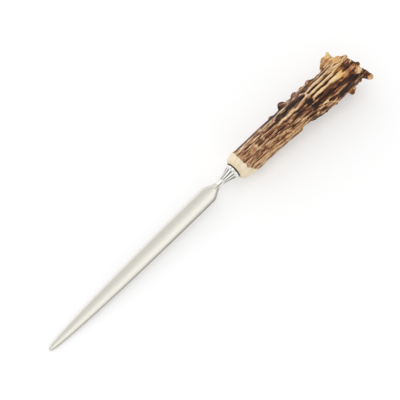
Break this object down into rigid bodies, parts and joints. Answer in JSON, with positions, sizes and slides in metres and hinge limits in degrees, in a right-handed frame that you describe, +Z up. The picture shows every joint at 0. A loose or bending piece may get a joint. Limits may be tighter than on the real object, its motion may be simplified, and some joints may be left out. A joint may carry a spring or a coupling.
{
  "type": "letter opener",
  "caption": "Letter opener for slitting envelopes: slim spear-shaped steel blade, fluted bright neck and a natural stag antler handle that ends in a knobbly burr.",
  "frame": {"origin": "bottom centre of the bounding box, on the desk that the tool lies on", "axes": "+X along the tool from the blade's point towards the burr, +Y across the blade, +Z up from the desk. The blade's own axis rises 3 degrees towards the burr, because the tool lies on the blade's point and on the burr."},
  "size_m": [0.2572, 0.031, 0.0261],
  "materials": {
    "blade_steel": "satin, brushed along the blade",
    "neck_metal": "bright polished",
    "cement": "matt dark resin cement",
    "antler": "natural antler: matt brown bark with pale ridges, bare bone at the front"
  },
  "bodies": {
    "root": {"blade": "blade_steel", "neck_bolster": "neck_metal", "tang_cement": "cement", "antler_handle": "antler"}
  },
  "joints": []
}
